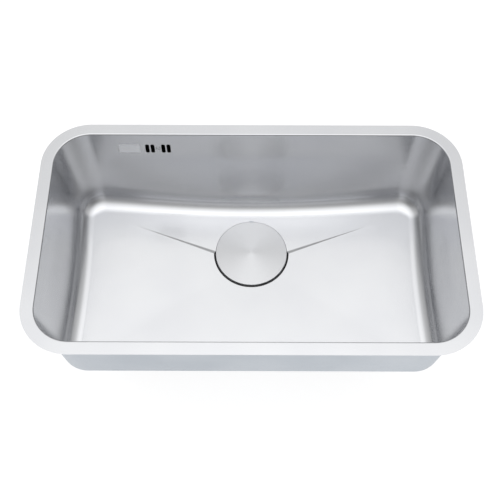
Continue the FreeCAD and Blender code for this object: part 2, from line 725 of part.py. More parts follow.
def overflow_pipe():
    """Upright behind the bowl, one bend, then level to the tee, with a collar at each end."""
    upright, level = pipe_directions()
    top = spout_end_z() - PIPE_SEAL_T
    reach = (upright - V(0, DRAIN_Y, 0)).Length
    start = TEE_BRANCH_REACH + PIPE_SEAL_T
    bend_top = V(upright.x, upright.y, TEE_BRANCH_Z + PIPE_BEND_R)
    bend_axis = UP.cross(level)
    centre = bend_top - level * PIPE_BEND_R

    def annulus(centre, axis, outer):
        rims = [Part.Wire(Part.makeCircle(r, centre, axis)) for r in (outer, PIPE_BORE_R)]
        return Part.makeFace(rims, "Part::FaceMakerBullseye")

    tee_end = V(0, DRAIN_Y, TEE_BRANCH_Z) + level * start
    level_run = reach - PIPE_BEND_R - start
    return one_solid(joined([
        annulus(bend_top, UP, PIPE_R).extrude(UP * (top - bend_top.z)),
        annulus(bend_top, UP, PIPE_R).revolve(centre, bend_axis, 90),
        annulus(tee_end, level, PIPE_R).extrude(level * level_run),
        annulus(V(upright.x, upright.y, top), UP, SPOUT_R).extrude(UP * -PIPE_COLLAR_T),
        annulus(tee_end, level, SPOUT_R).extrude(level * PIPE_COLLAR_T),
    ]))


def slip_joint_places():
    """The placement of each slip joint: z = 0 is the collar's far face, +Z to the thread."""
    upright, level = pipe_directions()
    top = V(upright.x, upright.y, spout_end_z() - PIPE_SEAL_T - PIPE_COLLAR_T)
    start = TEE_BRANCH_REACH + PIPE_SEAL_T + PIPE_COLLAR_T
    side = V(0, DRAIN_Y, TEE_BRANCH_Z) + level * start
    return [
        FreeCAD.Placement(top, FreeCAD.Rotation(UP, UP)),
        FreeCAD.Placement(side, FreeCAD.Rotation(UP, level.negative())),
    ]


def at_slip_joints(shape):
    placed = []
    for place in slip_joint_places():
        copy = shape.copy()
        copy.Placement = place.multiply(copy.Placement)
        placed.append(copy)
    return Part.makeCompound(placed)


def slip_nuts():
    nut = ribbed_nut(
        SPOUT_R + THREAD_GAP, PIPE_R + THREAD_GAP, SLIP_NUT_WALL,
        SLIP_NUT_GRIP + PIPE_SEAL_T + PIPE_COLLAR_T, SLIP_NUT_LIP_T,
        SLIP_NUT_RIBS, SLIP_NUT_RIB_R,
    )
    return at_slip_joints(nut)


def slip_seals():
    seal = ring(SPOUT_R, PIPE_BORE_R, PIPE_COLLAR_T, PIPE_COLLAR_T + PIPE_SEAL_T)
    return at_slip_joints(seal)


# ---- Trim ----
def sound_pad(side):
    """A rubber sheet of even thickness, stuck under the falling floor beside the drain."""
    floor_end = CORNER_X + FLOOR_CORNER_R
    middle = side * (COVER_R + COVER_GAP_FRONT + floor_end) / 2
    back = DRAIN_Y - PAD_AHEAD
    low = FLOOR_Z - FALL - SHEET - PAD_T - PAST
    slab = block(
        middle - PAD_LENGTH / 2, middle + PAD_LENGTH / 2,
        back - PAD_WIDTH, back, low, FLOOR_Z,
    )
    upright = [e for e in slab.Edges if abs(e.tangentAt(e.FirstParameter).z) > 0.9]
    slab = slab.makeFillet(PAD_CORNER_R, upright)
    rubber = falling_floor(SHEET + PAD_T, FLOOR_Z + PAST)
    rubber = rubber.cut(falling_floor(SHEET, FLOOR_Z + 2 * PAST))
    return one_solid(slab.common(rubber))


def sticker():
    film = rounded_plate(STICKER_LENGTH, STICKER_HEIGHT, STICKER_T, STICKER_CORNER_R)
    film.translate(V(0, -STICKER_T, 0))
    return one_solid(on_back_wall(film, OVERFLOW_X - STICKER_BESIDE))


def model():
    nodes = {
        "bowl": bowl(),
        "drain_cover": cover(),
        "strainer_body": strainer_body(),
        "strainer_basket": basket(),
        "basket_bush": basket_bush(),
        "flange_gasket": flange_gasket(),
        "waste_tee": waste_tee(),
        "tee_seal": tee_seal(),
        "coupling_nut": coupling_nut(),
        "overflow_gasket": overflow_gasket(),
        "overflow_housing": overflow_housing(),
        "overflow_insert": overflow_insert(),
        "overflow_screw": overflow_screw(),
        "overflow_pipe": overflow_pipe(),
        "slip_nuts": slip_nuts(),
        "slip_seals": slip_seals(),
        "sound_pad_left": sound_pad(-1),
        "sound_pad_right": sound_pad(1),
        "blank_sticker": sticker(),
    }
    nodes.update(clamp_rings())
    nodes.update(plug_parts())
    return nodes


os.makedirs("parts", exist_ok=True)
for name, shape in model().items():
    assert shape.isValid(), name
    shape.exportStep(f"parts/{name}.step")
    box = shape.BoundBox
    print(
        f"{name}: {len(shape.Solids)} solid, {shape.Volume / 1000:.1f} cm3, "
        f"x {box.XMin:.1f} to {box.XMax:.1f}, y {box.YMin:.1f} to {box.YMax:.1f}, "
        f"z {box.ZMin:.1f} to {box.ZMax:.1f}"
    )
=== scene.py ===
# %% [markdown]
# # An undermount kitchen sink
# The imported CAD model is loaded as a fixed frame, with every node at its real place.
# This notebook dresses it: it sets up the camera and a plain studio, presses a finer
# bowl, and gives every piece a finish made from nodes. Lengths are in millimetres
# wherever they are named, because that is how a sink is drawn, and one factor turns
# them into Blender's metres.

# %% Load the frame
import math

import bpy
from mathutils import Matrix, Vector


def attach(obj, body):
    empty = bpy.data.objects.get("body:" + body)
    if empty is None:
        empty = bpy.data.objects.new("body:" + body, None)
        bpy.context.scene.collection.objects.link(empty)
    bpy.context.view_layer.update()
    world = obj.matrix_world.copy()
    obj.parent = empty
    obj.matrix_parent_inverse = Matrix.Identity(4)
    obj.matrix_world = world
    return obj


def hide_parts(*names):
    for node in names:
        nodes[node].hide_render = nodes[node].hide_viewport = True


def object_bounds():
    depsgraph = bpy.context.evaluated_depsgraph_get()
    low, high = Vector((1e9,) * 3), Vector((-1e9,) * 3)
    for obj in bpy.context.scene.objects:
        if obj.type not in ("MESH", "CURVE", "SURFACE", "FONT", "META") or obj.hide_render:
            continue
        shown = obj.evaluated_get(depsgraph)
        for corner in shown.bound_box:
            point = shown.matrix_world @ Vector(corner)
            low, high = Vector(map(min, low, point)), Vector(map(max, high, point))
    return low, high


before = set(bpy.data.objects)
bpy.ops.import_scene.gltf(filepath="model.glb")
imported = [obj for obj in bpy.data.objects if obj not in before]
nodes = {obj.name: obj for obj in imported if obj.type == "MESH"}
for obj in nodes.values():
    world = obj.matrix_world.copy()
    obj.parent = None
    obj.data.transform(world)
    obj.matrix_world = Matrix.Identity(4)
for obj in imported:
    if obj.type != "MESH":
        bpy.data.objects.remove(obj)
cad_low, cad_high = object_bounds()
MM = 0.001
print("CAD nodes:", len(nodes), "box:", [round(v / MM) for v in cad_high - cad_low])


# %% [markdown]
# ## Camera
# The photograph looks down into the bowl from the front at about 62 degrees. The place
# and the lens were worked out from the outline of the rim, so the perspective of the
# bowl comes out right too. That also gave the camera's turn of a fifth of a degree.

# %% Camera
CAMERA_PLACE = Vector((-2.6, -679.1, 1217.9))
CAMERA_DOWN = 62.18       # degrees below level
CAMERA_LEAN = 0.19        # degrees round the upright axis
CAMERA_LENS = 58.32
CAMERA_NEAR = 50.0        # nothing nearer than this is drawn

camera_data = bpy.data.cameras.new("camera")
camera_data.lens = CAMERA_LENS
camera_data.clip_start = CAMERA_NEAR * MM
camera = bpy.data.objects.new("camera", camera_data)
bpy.context.scene.collection.objects.link(camera)
bpy.context.scene.camera = camera
pitch = Matrix.Rotation(math.radians(90 - CAMERA_DOWN), 4, "X")
lean = Matrix.Rotation(math.radians(CAMERA_LEAN), 4, "Z")
camera.matrix_world = Matrix.Translation(CAMERA_PLACE * MM) @ pitch @ lean
print("camera at", [round(v, 3) for v in camera.matrix_world.translation])


# %% [markdown]
# ## Helpers for finishes
# A finish is a small tree of shader nodes. One function adds a node with its settings
# and its links, and one turns a colour as it is seen on a screen into the linear value
# that Blender works with.

# %% Colours and nodes
def linear(hex_colour):
    """An sRGB hex colour as a linear RGBA tuple."""
    parts = [int(hex_colour[i:i + 2], 16) / 255 for i in (1, 3, 5)]
    return tuple(
        p / 12.92 if p <= 0.04045 else ((p + 0.055) / 1.055) ** 2.4 for p in parts
    ) + (1.0,)


def add(tree, kind, settings=None, links=None):
    """Add a node to a tree, set its properties and sockets, and feed its sockets."""
    made = tree.nodes.new(kind)
    for name, value in (settings or {}).items():
        if isinstance(name, str) and hasattr(made, name):
            setattr(made, name, value)
        else:
            made.inputs[name].default_value = value
    for name, source in (links or {}).items():
        tree.links.new(source, made.inputs[name])
    return made


def start_finish(name):
    """An empty material and its tree."""
    material = bpy.data.materials.new(name)
    material.use_nodes = True
    material.node_tree.nodes.clear()
    return material, material.node_tree


def end_finish(tree, shader):
    """Let a shader be what the material shows."""
    add(tree, "ShaderNodeOutputMaterial", links={"Surface": shader.outputs[0]})


print("half grey is", round(linear("#808080")[0], 3), "in linear light")


# %% [markdown]
# ## Studio
# Satin steel shows its surroundings, so the studio is as much a part of the look as the
# metal is. Lamps would leave hot spots in the metal, so the room itself is the light: a
# soft white ceiling, brightest straight overhead, that fades out down the walls. Under it
# a fainter belt of light goes round the room. A pale backdrop hangs behind the sink, a
# screen stands at either side, and it is dim between them. The metal needs those dim gaps,
# because they draw the dark edges of its corners. Matt rubber and plastic show no
# reflection to shape, so they get one even light, at which a colour shows about as it is
# written. The camera itself sees plain white.
#
# This is no measured room. A fit of the rendered greys to those of the photograph gave
# the first values of the stops below, which were then rounded and changed. So the
# light suits this one view, and the likeness there doesn't prove the steel's gloss right.

# %% Brightness of the room
bpy.context.scene.view_settings.view_transform = "Standard"
MATT_LIGHT = 0.9           # even light on matt surfaces
RAMP_TOP = 1.5             # a ramp holds values up to 1, so they are stored divided by this
CEILING = (                # height of a direction (0 level, 1 straight up) and brightness
    (0.0, 0.18), (0.25, 0.18), (0.45, 0.18), (0.62, 0.25), (0.72, 0.41), (0.79, 0.66),
    (0.85, 0.98), (0.875, 1.10), (0.90, 1.05), (0.94, 1.21), (0.97, 1.38), (1.0, 1.50),
)
BELT = (                   # bearing (0 toward the camera, 0.5 sideways, 1 behind the sink)
    (0.0, 0.20), (0.03, 0.12), (0.09, 0.0), (0.18, 0.0), (0.30, 0.20), (0.45, 0.32),
    (0.60, 0.32), (0.75, 0.30), (0.86, 0.12), (0.93, 0.24), (0.975, 0.55), (1.0, 0.62),
)
BELT_FOOT, BELT_HEAD = (0.15, 0.42), (0.68, 0.84)    # heights at which it fades in and out


def fill_ramp(node, stops):
    """Put brightness stops into a colour ramp."""
    ramp = node.color_ramp
    while len(ramp.elements) < len(stops):
        ramp.elements.new(0.5)
    for element, (place, bright) in zip(ramp.elements, stops):
        element.position = place
        element.color = (bright / RAMP_TOP,) * 3 + (1.0,)


print("stops of the ceiling and the belt:", len(CEILING), len(BELT))


# %% [markdown]
# The ceiling depends on the height of a direction alone. The belt depends on its bearing
# and is held between two heights. The two are added.

# %% Ceiling and belt
world = bpy.data.worlds.new("studio")
bpy.context.scene.world = world
world.use_nodes = True
room = world.node_tree
room.nodes.clear()
direction = add(room, "ShaderNodeTexCoord")
height = add(
    room, "ShaderNodeSeparateXYZ", links={0: direction.outputs["Generated"]},
).outputs["Z"]
ceiling = add(room, "ShaderNodeValToRGB", links={0: height})
fill_ramp(ceiling, CEILING)

level_way = add(
    room, "ShaderNodeVectorMath", {"operation": "MULTIPLY", 1: (1.0, 1.0, 0.0)},
    {0: direction.outputs["Generated"]},
)
level_way = add(
    room, "ShaderNodeVectorMath", {"operation": "NORMALIZE"}, {0: level_way.outputs[0]},
)
bearing = add(
    room, "ShaderNodeMapRange", {"From Min": -1.0, "From Max": 1.0},
    {"Value": add(
        room, "ShaderNodeSeparateXYZ", links={0: level_way.outputs[0]},
    ).outputs["Y"]},
)
belt = add(room, "ShaderNodeValToRGB", links={0: bearing.outputs[0]})
fill_ramp(belt, BELT)
for (edge_low, edge_high), (start, end) in ((BELT_FOOT, (0, 1)), (BELT_HEAD, (1, 0))):
    edge = add(
        room, "ShaderNodeMapRange",
        {"interpolation_type": "SMOOTHSTEP", "From Min": edge_low, "From Max": edge_high,
         "To Min": start, "To Max": end},
        {"Value": height},
    )
    belt = add(
        room, "ShaderNodeMath", {"operation": "MULTIPLY"},
        {0: belt.outputs[0], 1: edge.outputs[0]},
    )
both = add(
    room, "ShaderNodeMath", {"operation": "ADD"}, {0: ceiling.outputs[0], 1: belt.outputs[0]},
)
brightness = add(
    room, "ShaderNodeMath", {"operation": "MULTIPLY", 1: RAMP_TOP}, {0: both.outputs[0]},
)
print("ceiling level:", CEILING[-1][1], "backdrop level:", BELT[-1][1])


# %% [markdown]
# The rays tell what the room is seen by. A reflection sees the room as it was made, a
# matt surface sees it even, and the camera sees it white.

# %% What each ray sees
path = add(room, "ShaderNodeLightPath")
seen_room = add(
    room, "ShaderNodeMix", {"data_type": "FLOAT", 3: 1.0},
    {0: path.outputs["Is Camera Ray"], 2: brightness.outputs[0]},
)
shown_room = add(
    room, "ShaderNodeMix", {"data_type": "FLOAT", 3: MATT_LIGHT},
    {0: path.outputs["Is Diffuse Ray"], 2: seen_room.outputs[0]},
)
room_light = add(
    room, "ShaderNodeBackground", {"Color": linear("#FFFFFF")},
    {"Strength": shown_room.outputs[0]},
)
add(room, "ShaderNodeOutputWorld", links={"Surface": room_light.outputs[0]})
print("nodes in the room:", len(room.nodes))


# %% [markdown]
# The sink stands on a white studio floor. It is seen white, also in the metal, because it
# glows for the camera and for reflections only, and its grey paint still takes the soft
# shadow under the sink.

# %% Floor
FLOOR_REACH = 30.0        # metres from the middle, so that its edge is never seen
FLOOR_GAP = 0.5           # millimetres below the lowest piece
FLOOR_OWN_LIGHT = 0.78
FLOOR_ALBEDO = 0.38

floor_mesh = bpy.data.meshes.new("studio_floor")
floor_mesh.from_pydata(
    [(x * FLOOR_REACH, y * FLOOR_REACH, cad_low.z - FLOOR_GAP * MM)
     for x, y in ((-1, -1), (1, -1), (1, 1), (-1, 1))],
    [], [(0, 1, 2, 3)],
)
floor = bpy.data.objects.new("studio_floor", floor_mesh)
bpy.context.scene.collection.objects.link(floor)

floor_paint, tree = start_finish("studio_floor_paint")
path = add(tree, "ShaderNodeLightPath")
seen = add(
    tree, "ShaderNodeMath", {"operation": "MAXIMUM"},
    {0: path.outputs["Is Camera Ray"], 1: path.outputs["Is Glossy Ray"]},
)
seen = add(
    tree, "ShaderNodeMath", {"operation": "MAXIMUM"},
    {0: seen.outputs[0], 1: path.outputs["Is Transmission Ray"]},
)
own_light = add(
    tree, "ShaderNodeMath", {"operation": "MULTIPLY", 1: FLOOR_OWN_LIGHT},
    {0: seen.outputs[0]},
)
glow = add(
    tree, "ShaderNodeEmission", {"Color": linear("#FFFFFF")},
    {"Strength": own_light.outputs[0]},
)
paint = add(
    tree, "ShaderNodeBsdfDiffuse", {"Color": (FLOOR_ALBEDO,) * 3 + (1.0,)},
)
end_finish(tree, add(
    tree, "ShaderNodeAddShader", links={0: glow.outputs[0], 1: paint.outputs[0]},
))
floor_mesh.materials.append(floor_paint)
print("floor at mm:", round(floor_mesh.vertices[0].co.z / MM, 1))


# %% [markdown]
# ## Stainless steel
# The bowl is austenitic stainless sheet, deep drawn and then given a satin finish with
# an abrasive belt and pads. The eye gets a pale grey with broad, soft reflections and
# no mirror image. The outside is left as it leaves the press: a little darker, duller
# and cooler, with faint clouds from the drawing. Real satin scratches are about 0.05 mm
# wide. That is finer than a pixel here, so the grain is drawn 0.9 mm wide and very shallow.

# %% Grain
NOISE_RANGE = {"From Min": 0.3, "From Max": 0.7}    # nearly all of a noise lies between


def grain(tree, size_mm):
    """A noise from 0 to 1 whose grains are about size_mm wide."""
    place = add(tree, "ShaderNodeTexCoord")
    scaled = add(
        tree, "ShaderNodeVectorMath", {"operation": "MULTIPLY", 1: (1 / (size_mm * MM),) * 3},
        {0: place.outputs["Object"]},
    )
    noise = add(
        tree, "ShaderNodeTexNoise", {"Scale": 1.0, "Detail": 2.0}, {"Vector": scaled.outputs[0]},
    )
    return add(tree, "ShaderNodeMapRange", NOISE_RANGE, {"Value": noise.outputs[0]})


print("noise is used from", NOISE_RANGE["From Min"], "to", NOISE_RANGE["From Max"])


# %% [markdown]
# Steel, rubber and plastic differ in their colours and their gloss, but are built alike:
# wide clouds mix two near tints, and a fine grain moves the roughness and the height.

# %% Clouds, polish and relief
def worked(name, dark, light, rough, grain_mm, bump_mm, cloud_mm, sockets):
    """Two near tints, a roughness range, the grain's width and depth, the clouds' width."""
    material, tree = start_finish(name)
    fine = grain(tree, grain_mm)
    cloud = grain(tree, cloud_mm)
    tint = add(
        tree, "ShaderNodeMix", {"data_type": "RGBA", 6: linear(dark), 7: linear(light)},
        {0: cloud.outputs[0]},
    )
    polish = add(
        tree, "ShaderNodeMapRange", {"To Min": rough[0], "To Max": rough[1]},
        {"Value": fine.outputs[0]},
    )
    relief = add(
        tree, "ShaderNodeBump", {"Strength": 1.0, "Distance": bump_mm * MM},
        {"Height": fine.outputs[0]},
    )
    end_finish(tree, add(
        tree, "ShaderNodeBsdfPrincipled", sockets,
        {"Base Color": tint.outputs[2], "Roughness": polish.outputs[0],
         "Normal": relief.outputs[0]},
    ))
    return material


# %% Satin and mill finish
METAL_CLOUD_MM = 120.0


def steel(name, dark, light, rough, grain_mm, bump_mm):
    """A metal with an even grain."""
    return worked(
        name, dark, light, rough, grain_mm, bump_mm, METAL_CLOUD_MM, {"Metallic": 1.0},
    )


satin_steel = steel("satin_steel", "#E2E3E6", "#E7E8EA", (0.22, 0.27), 0.9, 0.0012)
mill_steel = steel("mill_finish_steel", "#C3C9D0", "#CDD2D8", (0.42, 0.55), 2.0, 0.004)
print("steel:", satin_steel.name, mill_steel.name)


# %% [markdown]
# ## Bowl
# The real bowl is pressed from one flat sheet: a rim, a tight bend, four leaning walls,
# a generous fillet and a floor that falls to the drain from two creases. The bright line
# at the foot of the back wall is bent in the photograph, so that foot stands in a little.
# The upper surface is built first, as stations round the rim with points down each one,
# so its curves are even from every side. Solidify then gives the sheet its thickness, and
# the overflow slots are cut through it.

# %% Sizes of the bowl
RIM_LENGTH, RIM_WIDTH = 760.0, 450.0
FLANGE_WIDTH = 22.5       # the flat rim, from its edge to the wall
SHEET = 1.2
BEND_R = 2.5              # the seen side of the bend where the rim turns down
BOWL_DEPTH = 200.0
WALL_LEAN = 14.8          # how far a wall leans in over the bowl's depth
WALL_ANGLE = math.atan2(WALL_LEAN, BOWL_DEPTH)
RIM_CORNER_R = 85.49
CORNER_X = RIM_LENGTH / 2 - RIM_CORNER_R    # axis of the rounded corners
CORNER_Y = RIM_WIDTH / 2 - RIM_CORNER_R
FILLET_SIDE, FILLET_FRONT = 28.0, 31.0
FILLET_BACK, FILLET_BACK_LOSS = 36.0, 4.0   # tighter by the loss in the middle
BACK_BOW, SIDE_BOW = 16.5, 4.0      # how far the foot of a wall stands in at its middle
BOW_TOP, BOW_FOOT = 52.0, 170.0     # the depths between which the wall comes in
BOW_SOFT = 0.2            # share of that way taken by its soft start, and by its soft end
BULGE_POWER = 1.3         # how steeply a bow dies away toward the corners
FALL = 3.0                # how much lower the front of the floor is at the drain
FALL_MARGIN = 1.5         # the fall starts this far in from the floor's fillet
DRAIN_Y = 63.0            # centre of the drain, behind the middle of the rim
WELL_STEP = 3.0           # the creases meet this far behind the drain's centre
FALL_CENTRE_Y = DRAIN_Y + WELL_STEP
COVER_R = 70.0
WELL_R_BACK, WELL_R_FRONT = 70.2, 73.5      # hardly any gap is seen behind the cover
WELL_DEPTH = 10.0         # floor to the well's seat
SEAT_Z = -BOWL_DEPTH - WELL_DEPTH
DRAIN_HOLE_R = 57.5
CORNER_STEPS, LONG_STEPS, SHORT_STEPS = 24, 36, 20      # stations on each stretch
print("straight runs in mm:", 2 * round(CORNER_X, 1), 2 * round(CORNER_Y, 1))


# %% [markdown]
# A station is a place on the rim from which the bowl is followed down to its floor. The
# radius of the fillet and the bow of the wall change softly from station to station.

# %% Stations round the rim
def soft_step(share):
    """A share from 0 to 1 that starts and ends gently."""
    share = min(max(share, 0.0), 1.0)
    return share * share * (3 - 2 * share)


def bulge(at, end):
    """A soft swelling along a straight side: 1 in its middle, 0 from its ends on."""
    return max(1 - (at / end) ** 2, 0.0) ** BULGE_POWER


def stations():
    """Places round the rim: (point, direction out of the bowl, radius of the fillet)."""
    places = []
    corners = ((1, 1, 0), (-1, 1, 90), (-1, -1, 180), (1, -1, 270))
    for i, (x_side, y_side, first) in enumerate(corners):
        for k in range(CORNER_STEPS):
            a = math.radians(first + 90 * k / CORNER_STEPS)
            out = Vector((math.cos(a), math.sin(a)))
            places.append((
                Vector((x_side * CORNER_X, y_side * CORNER_Y)) + RIM_CORNER_R * out, out,
            ))
        a = math.radians(first + 90)
        out = Vector((math.cos(a), math.sin(a)))
        ahead = corners[(i + 1) % 4]
        start, end = (
            Vector((x * CORNER_X, y * CORNER_Y)) + RIM_CORNER_R * out
            for x, y in ((x_side, y_side), ahead[:2])
        )
        steps = LONG_STEPS if i % 2 == 0 else SHORT_STEPS
        places += [(start.lerp(end, k / steps), out) for k in range(steps)]
    return [(point, out, fillet_radius(point, out)) for point, out in places]


def fillet_radius(point, out):
    """The fillet is widest along the back, and a little tighter in its middle."""
    if out.y > 0:
        wide = FILLET_BACK - FILLET_BACK_LOSS * bulge(point.x, CORNER_X)
    else:
        wide = FILLET_FRONT
    return FILLET_SIDE + (wide - FILLET_SIDE) * soft_step(abs(out.y))


def come_in(depth):
    """Share of the bow at a depth: it grows evenly, with a soft start and a soft end."""
    share = min(max((depth - BOW_TOP) / (BOW_FOOT - BOW_TOP), 0.0), 1.0)
    grown = (
        share * share / (2 * BOW_SOFT) if share < BOW_SOFT
        else share - BOW_SOFT / 2 if share < 1 - BOW_SOFT
        else 1 - BOW_SOFT - (1 - share) ** 2 / (2 * BOW_SOFT)
    )
    return grown / (1 - BOW_SOFT)


rim = stations()
print("stations:", len(rim), "fillets from", min(r for *_, r in rim), "to",
      round(max(r for *_, r in rim), 1))


# %% [markdown]
# Down each station the sheet is a flat rim, an arc, a straight wall, a second arc and the
# start of the floor. Narrow strips beside the arcs keep the shading of the flats flat.

# %% Profile and rings
FLANGE_ROWS = (0.0, 0.6, 7.0, 14.0)         # rows of points on the rim, from its edge
NARROW = 0.4                                # a narrow strip beside an arc
BEND_STEPS, WALL_STEPS, FILLET_STEPS = 8, 20, 20
WALL_END = 0.003                            # share of the wall in the strip at either end


def profile(fillet_r):
    """(inset, height) down one station, from the rim's edge to the floor."""
    wall_deg = math.degrees(WALL_ANGLE)
    bend_inset = FLANGE_WIDTH + WALL_LEAN * BEND_R / BOWL_DEPTH - BEND_R / math.cos(WALL_ANGLE)
    floor_inset = (
        FLANGE_WIDTH + WALL_LEAN * (BOWL_DEPTH - fillet_r) / BOWL_DEPTH
        + fillet_r / math.cos(WALL_ANGLE)
    )
    places = [(inset, 0.0) for inset in (*FLANGE_ROWS, bend_inset - NARROW)]
    for k in range(BEND_STEPS + 1):
        a = math.radians(90 + (wall_deg - 90) * k / BEND_STEPS)
        places.append((bend_inset + BEND_R * math.cos(a), BEND_R * (math.sin(a) - 1)))
    fillet = []
    for k in range(FILLET_STEPS + 1):
        a = math.radians(180 + wall_deg + (90 - wall_deg) * k / FILLET_STEPS)
        fillet.append((
            floor_inset + fillet_r * math.cos(a),
            fillet_r - BOWL_DEPTH + fillet_r * math.sin(a),
        ))
    top, foot = places[-1], fillet[0]
    shares = [WALL_END, *(k / WALL_STEPS for k in range(1, WALL_STEPS)), 1 - WALL_END]
    places += [
        (top[0] + (foot[0] - top[0]) * s, top[1] + (foot[1] - top[1]) * s) for s in shares
    ]
    floor = [(floor_inset + more, -BOWL_DEPTH) for more in (NARROW, FALL_MARGIN)]
    return places + fillet + floor


def down_station(point, out, fillet_r):
    """The places down one station, with the feet of the back and side walls bowed in."""
    places = []
    for inset, z in profile(fillet_r):
        flat = point - out * inset
        share = come_in(-z)
        flat.x -= math.copysign(SIDE_BOW * share * bulge(point.y, CORNER_Y), point.x)
        if out.y > 0:
            flat.y -= BACK_BOW * share * bulge(point.x, CORNER_X)
        places.append(Vector((*flat, z)))
    return places


rings = list(zip(*(down_station(*station) for station in rim)))
print("rings:", len(rings), "points on a ring:", len(rings[0]))


# %% [markdown]
# The creases start in the middle of the back corners and end at the drain. Behind them
# the floor is level. Before them it is a ruled surface: each straight ruling runs from
# the border of the floor down to the drain, where it arrives 3 mm lower. The step
# between the two parts fades out on its way to the corner.

# %% Floor with its creases
CREASE_RIGHT = CORNER_STEPS // 2
CREASE_LEFT = CORNER_STEPS + LONG_STEPS + CORNER_STEPS // 2
CREASE_DEG = 3.8          # how far round the drain the step is spread
CREASE_START = 0.30       # share of the way to the drain at which the step starts
CREASE_REACH = 30.0       # degrees from the crease over which that start fades to 0
EDGE_DEG = 0.5            # a narrow strip beside the step keeps its edges crisp
LIP_R = 0.35              # the rounded edge of the well
LIP_ROWS = (2.0, 0.6, 0.0)  # the last rows of a ruling, in mm before the lip
RULING_STEPS = 16


def meet_circle(start, end, radius):
    """Share of the way from start to end at which a line meets the drain's circle."""
    along = end - start
    off = start - Vector((0.0, DRAIN_Y))
    a, b, c = along.dot(along), 2 * off.dot(along), off.dot(off) - radius ** 2
    return (-b - math.sqrt(b * b - 4 * a * c)) / (2 * a)


def on_drain(degrees):
    """The place on the drain's edge where a ruling at this bearing ends."""
    a = math.radians(degrees)
    return Vector((0.0, FALL_CENTRE_Y)) + COVER_R * Vector((math.cos(a), math.sin(a)))


def ruling(border, degrees, radius, low, crease_at=None):
    """Points down one ruling, from the border to the lip of the well.

    Rulings that run along a crease share their points as far as its step has not begun.
    """
    toward = on_drain(degrees)
    straight, start = toward, 0.0
    if crease_at is not None:
        away = abs(degrees - crease_at) - CREASE_DEG
        start = CREASE_START * (1 - soft_step(away / CREASE_REACH))
        if away < 2 * EDGE_DEG:
            straight = on_drain(crease_at)
    share = meet_circle(border, toward, radius)
    shared = meet_circle(border, straight, WELL_R_FRONT + LIP_R)
    length = (toward - border).length
    points = []
    for s in [shared * k / RULING_STEPS for k in range(RULING_STEPS)] + [
        share - near / length for near in LIP_ROWS
    ]:
        gone = max(s - start, 0.0) / (1 - start)
        flat = border.lerp(straight, s) + (toward - straight) * gone
        points.append(Vector((*flat, -BOWL_DEPTH - low * gone)))
    return points


def back_rulings(border):
    """Rulings of the level floor, from the right crease round the back to the left one."""
    steps = CREASE_LEFT - CREASE_RIGHT
    plan = [(CREASE_RIGHT + k, 180 * k / steps) for k in range(steps + 1)]
    ends = [(CREASE_RIGHT, EDGE_DEG), (CREASE_LEFT, 180 - EDGE_DEG)]
    plan = plan[:1] + ends[:1] + plan[1:-1] + ends[1:] + plan[-1:]
    return [ruling(border[k], turn, WELL_R_BACK + LIP_R, 0.0) for k, turn in plan]


def front_plan(border):
    """(station, bearing at the drain) from the left crease round the front to the right one.

    The bearings follow the border's own, stretch by stretch, so the rulings fan out evenly.
    """
    half = CORNER_STEPS // 2
    knots = [CREASE_LEFT]
    for steps in (half, SHORT_STEPS, CORNER_STEPS, LONG_STEPS, CORNER_STEPS, SHORT_STEPS, half):
        knots.append(knots[-1] + steps)
    bearings = []
    for knot in knots:
        off = border[knot % len(border)] - Vector((0.0, FALL_CENTRE_Y))
        bearing = math.degrees(math.atan2(off.y, off.x)) % 360
        if bearings and bearing < bearings[0]:
            bearing += 360
        bearings.append(bearing)
    first, last = 180 + CREASE_DEG, 360 - CREASE_DEG
    plan = []
    for (k0, k1), (b0, b1) in zip(zip(knots, knots[1:]), zip(bearings, bearings[1:])):
        for k in range(k0, k1 + (k1 == knots[-1])):
            bearing = b0 + (b1 - b0) * (k - k0) / (k1 - k0)
            share = (bearing - bearings[0]) / (bearings[-1] - bearings[0])
            plan.append((k, first + (last - first) * share))
    return (
        plan[:1] + [(plan[0][0], first + EDGE_DEG)] + plan[1:-1]
        + [(plan[-1][0], last - EDGE_DEG)] + plan[-1:]
    )


def front_rulings(border):
    """Rulings of the falling floor, from the left crease round the front to the right one."""
    return [
        ruling(
            border[k % len(border)], turn, WELL_R_FRONT + LIP_R, FALL,
            crease_at=180 if turn < 270 else 360,
        )
        for k, turn in front_plan(border)
    ]


floor_border = [place.xy for place in rings[-1]]
back, front = back_rulings(floor_border), front_rulings(floor_border)
print("rulings behind and before the creases:", len(back), len(front))


# %% [markdown]
# Every point is kept once, in a small table keyed by its place, so neighbouring strips
# share their edges and the surface is watertight before it gets its thickness.

# %% Build the sheet
WELL_FOOT_R = 1.2         # where the well's wall curves into its seat
SEAT_ROWS = (66.0, 60.0, DRAIN_HOLE_R)      # radii of the rows of points on the seat


class Sheet:
    """Collects points and faces, and welds points that lie in the same place."""

    def __init__(self):
        """Start with no points and no faces."""
        self.points, self.faces, self.known = [], [], {}

    def point(self, place):
        """Number of the point at a place given in millimetres."""
        key = tuple(round(v, 3) for v in place)
        if key not in self.known:
            self.known[key] = len(self.points)
            self.points.append(Vector(place) * MM)
        return self.known[key]

    def strip(self, one, other, closed=True):
        """Faces between two rows of points."""
        count = len(one)
        for i in range(count if closed else count - 1):
            j = (i + 1) % count
            corners = []
            for place in (one[i], other[i], other[j], one[j]):
                index = self.point(place)
                if index not in corners:
                    corners.append(index)
            if len(corners) > 2:
                self.faces.append(corners)


